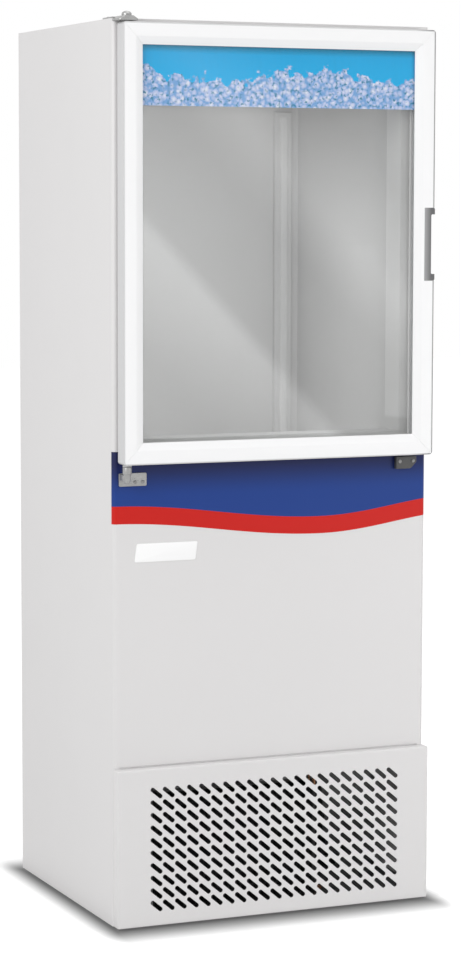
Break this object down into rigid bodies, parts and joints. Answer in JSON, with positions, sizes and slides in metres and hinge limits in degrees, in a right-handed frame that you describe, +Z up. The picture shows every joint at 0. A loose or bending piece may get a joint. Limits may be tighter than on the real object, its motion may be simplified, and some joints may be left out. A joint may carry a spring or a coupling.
{
  "type": "ice merchandiser freezer",
  "caption": "Upright foam-insulated freezer for bagged ice: glass door with a header over a deep bin, wavy colour bands, and a slotted kick panel in front of the condensing unit.",
  "frame": {"origin": "on the floor, under the middle of the whole object's box with the door shut", "axes": "+Z up, +X to the right of a person who faces the door, -Y towards that person"},
  "size_m": [0.766, 0.66, 2.014],
  "materials": {
    "casing_white": "satin powder paint",
    "vinyl_blue": "printed vinyl, blue fading dark upwards",
    "vinyl_red": "printed vinyl",
    "badge_white": "smooth",
    "bare_steel": "galvanised",
    "rubber_black": "moulded",
    "foam_yellow": null,
    "throat_white": "extruded",
    "liner_white": "smooth paint",
    "zinc_steel": "zinc plated",
    "catch_grey": "moulded",
    "lamp_white": "extruded",
    "diffuser_white": "frosted",
    "rack_steel": "plastic coated wire",
    "fin_aluminium": "pressed sheet",
    "motor_black": "satin",
    "fan_white": "moulded",
    "fan_aluminium": "pressed sheet",
    "tray_plastic": "moulded",
    "compressor_black": "enamel",
    "copper_tube": "drawn copper",
    "control_grey": "satin",
    "knob_black": "moulded",
    "door_white": "extruded profile, smooth",
    "door_glass": "clear tempered",
    "spacer_aluminium": "satin",
    "header_print": "printed film, blue sky over pale ice",
    "gasket_grey": "soft extrusion",
    "grip_grey": "moulded",
    "bush_plastic": "moulded"
  },
  "bodies": {
    "cabinet": {"side_panel_left": "casing_white", "side_panel_right": "casing_white", "top_panel": "casing_white", "back_panel": "casing_white", "lower_front_panel": "casing_white", "graphic_blue_band": "vinyl_blue", "graphic_red_stripe": "vinyl_red", "badge_plate": "badge_white", "kick_grille": "casing_white", "rear_grille": "bare_steel", "base_pan": "bare_steel", "machine_deck": "bare_steel", "levelling_feet": "rubber_black", "insulation": "foam_yellow", "throat_frame": "throat_white", "liner_left": "liner_white", "liner_right": "liner_white", "liner_back": "liner_white", "liner_front": "liner_white", "liner_floor": "liner_white", "liner_top": "liner_white", "hinge_bracket_top": "zinc_steel", "hinge_pin_top": "zinc_steel", "hinge_bracket_bottom": "zinc_steel", "hinge_pin_bottom": "zinc_steel", "catch_block": "catch_grey", "panel_screws": "zinc_steel", "lamp_housing": "lamp_white", "lamp_diffuser": "diffuser_white", "floor_rack": "rack_steel", "evaporator_cover": "liner_white", "evaporator_coil": "fin_aluminium", "evaporator_fan_motor": "motor_black", "drain_pan": "tray_plastic", "drain_tube": "tray_plastic", "compressor": "compressor_black", "compressor_mounts": "rubber_black", "condenser_coil": "fin_aluminium", "fan_shroud": "motor_black", "condenser_fan_motor": "motor_black", "filter_drier": "copper_tube", "refrigerant_lines": "copper_tube", "evaporation_tray": "tray_plastic", "control_box": "control_grey", "thermostat": "knob_black", "cable_gland": "knob_black"},
    "door": {"door_rail_top": "door_white", "door_rail_bottom": "door_white", "door_stile_hinge": "door_white", "door_stile_grip": "door_white", "outer_glass": "door_glass", "inner_glass": "door_glass", "glass_spacer": "spacer_aluminium", "header_panel": "header_print", "door_gasket": "gasket_grey", "edge_grip": "grip_grey", "hinge_bushes": "bush_plastic"},
    "evaporator_rotor": {"evaporator_fan": "fan_white"},
    "condenser_rotor": {"condenser_fan": "fan_aluminium"},
    "thermostat_dial": {"thermostat_knob": "knob_black"}
  },
  "joints": [
    {"name": "door_swing", "type": "hinge", "parent": "cabinet", "child": "door", "pos_m": [-0.361, -0.312, 1.5], "axis": [0, 0, -1], "range_deg": [0, 110]},
    {"name": "evaporator_fan_spin", "type": "hinge", "parent": "cabinet", "child": "evaporator_rotor", "pos_m": [0, -0.041, 1.86], "axis": [0, 0, 1], "continuous": true},
    {"name": "condenser_fan_spin", "type": "hinge", "parent": "cabinet", "child": "condenser_rotor", "pos_m": [-0.06, -0.15, 0.1425], "axis": [0, 1, 0], "continuous": true},
    {"name": "thermostat_turn", "type": "hinge", "parent": "cabinet", "child": "thermostat_dial", "pos_m": [-0.298, 0, 0.1225], "axis": [0, 1, 0], "range_deg": [0, 270]}
  ]
}
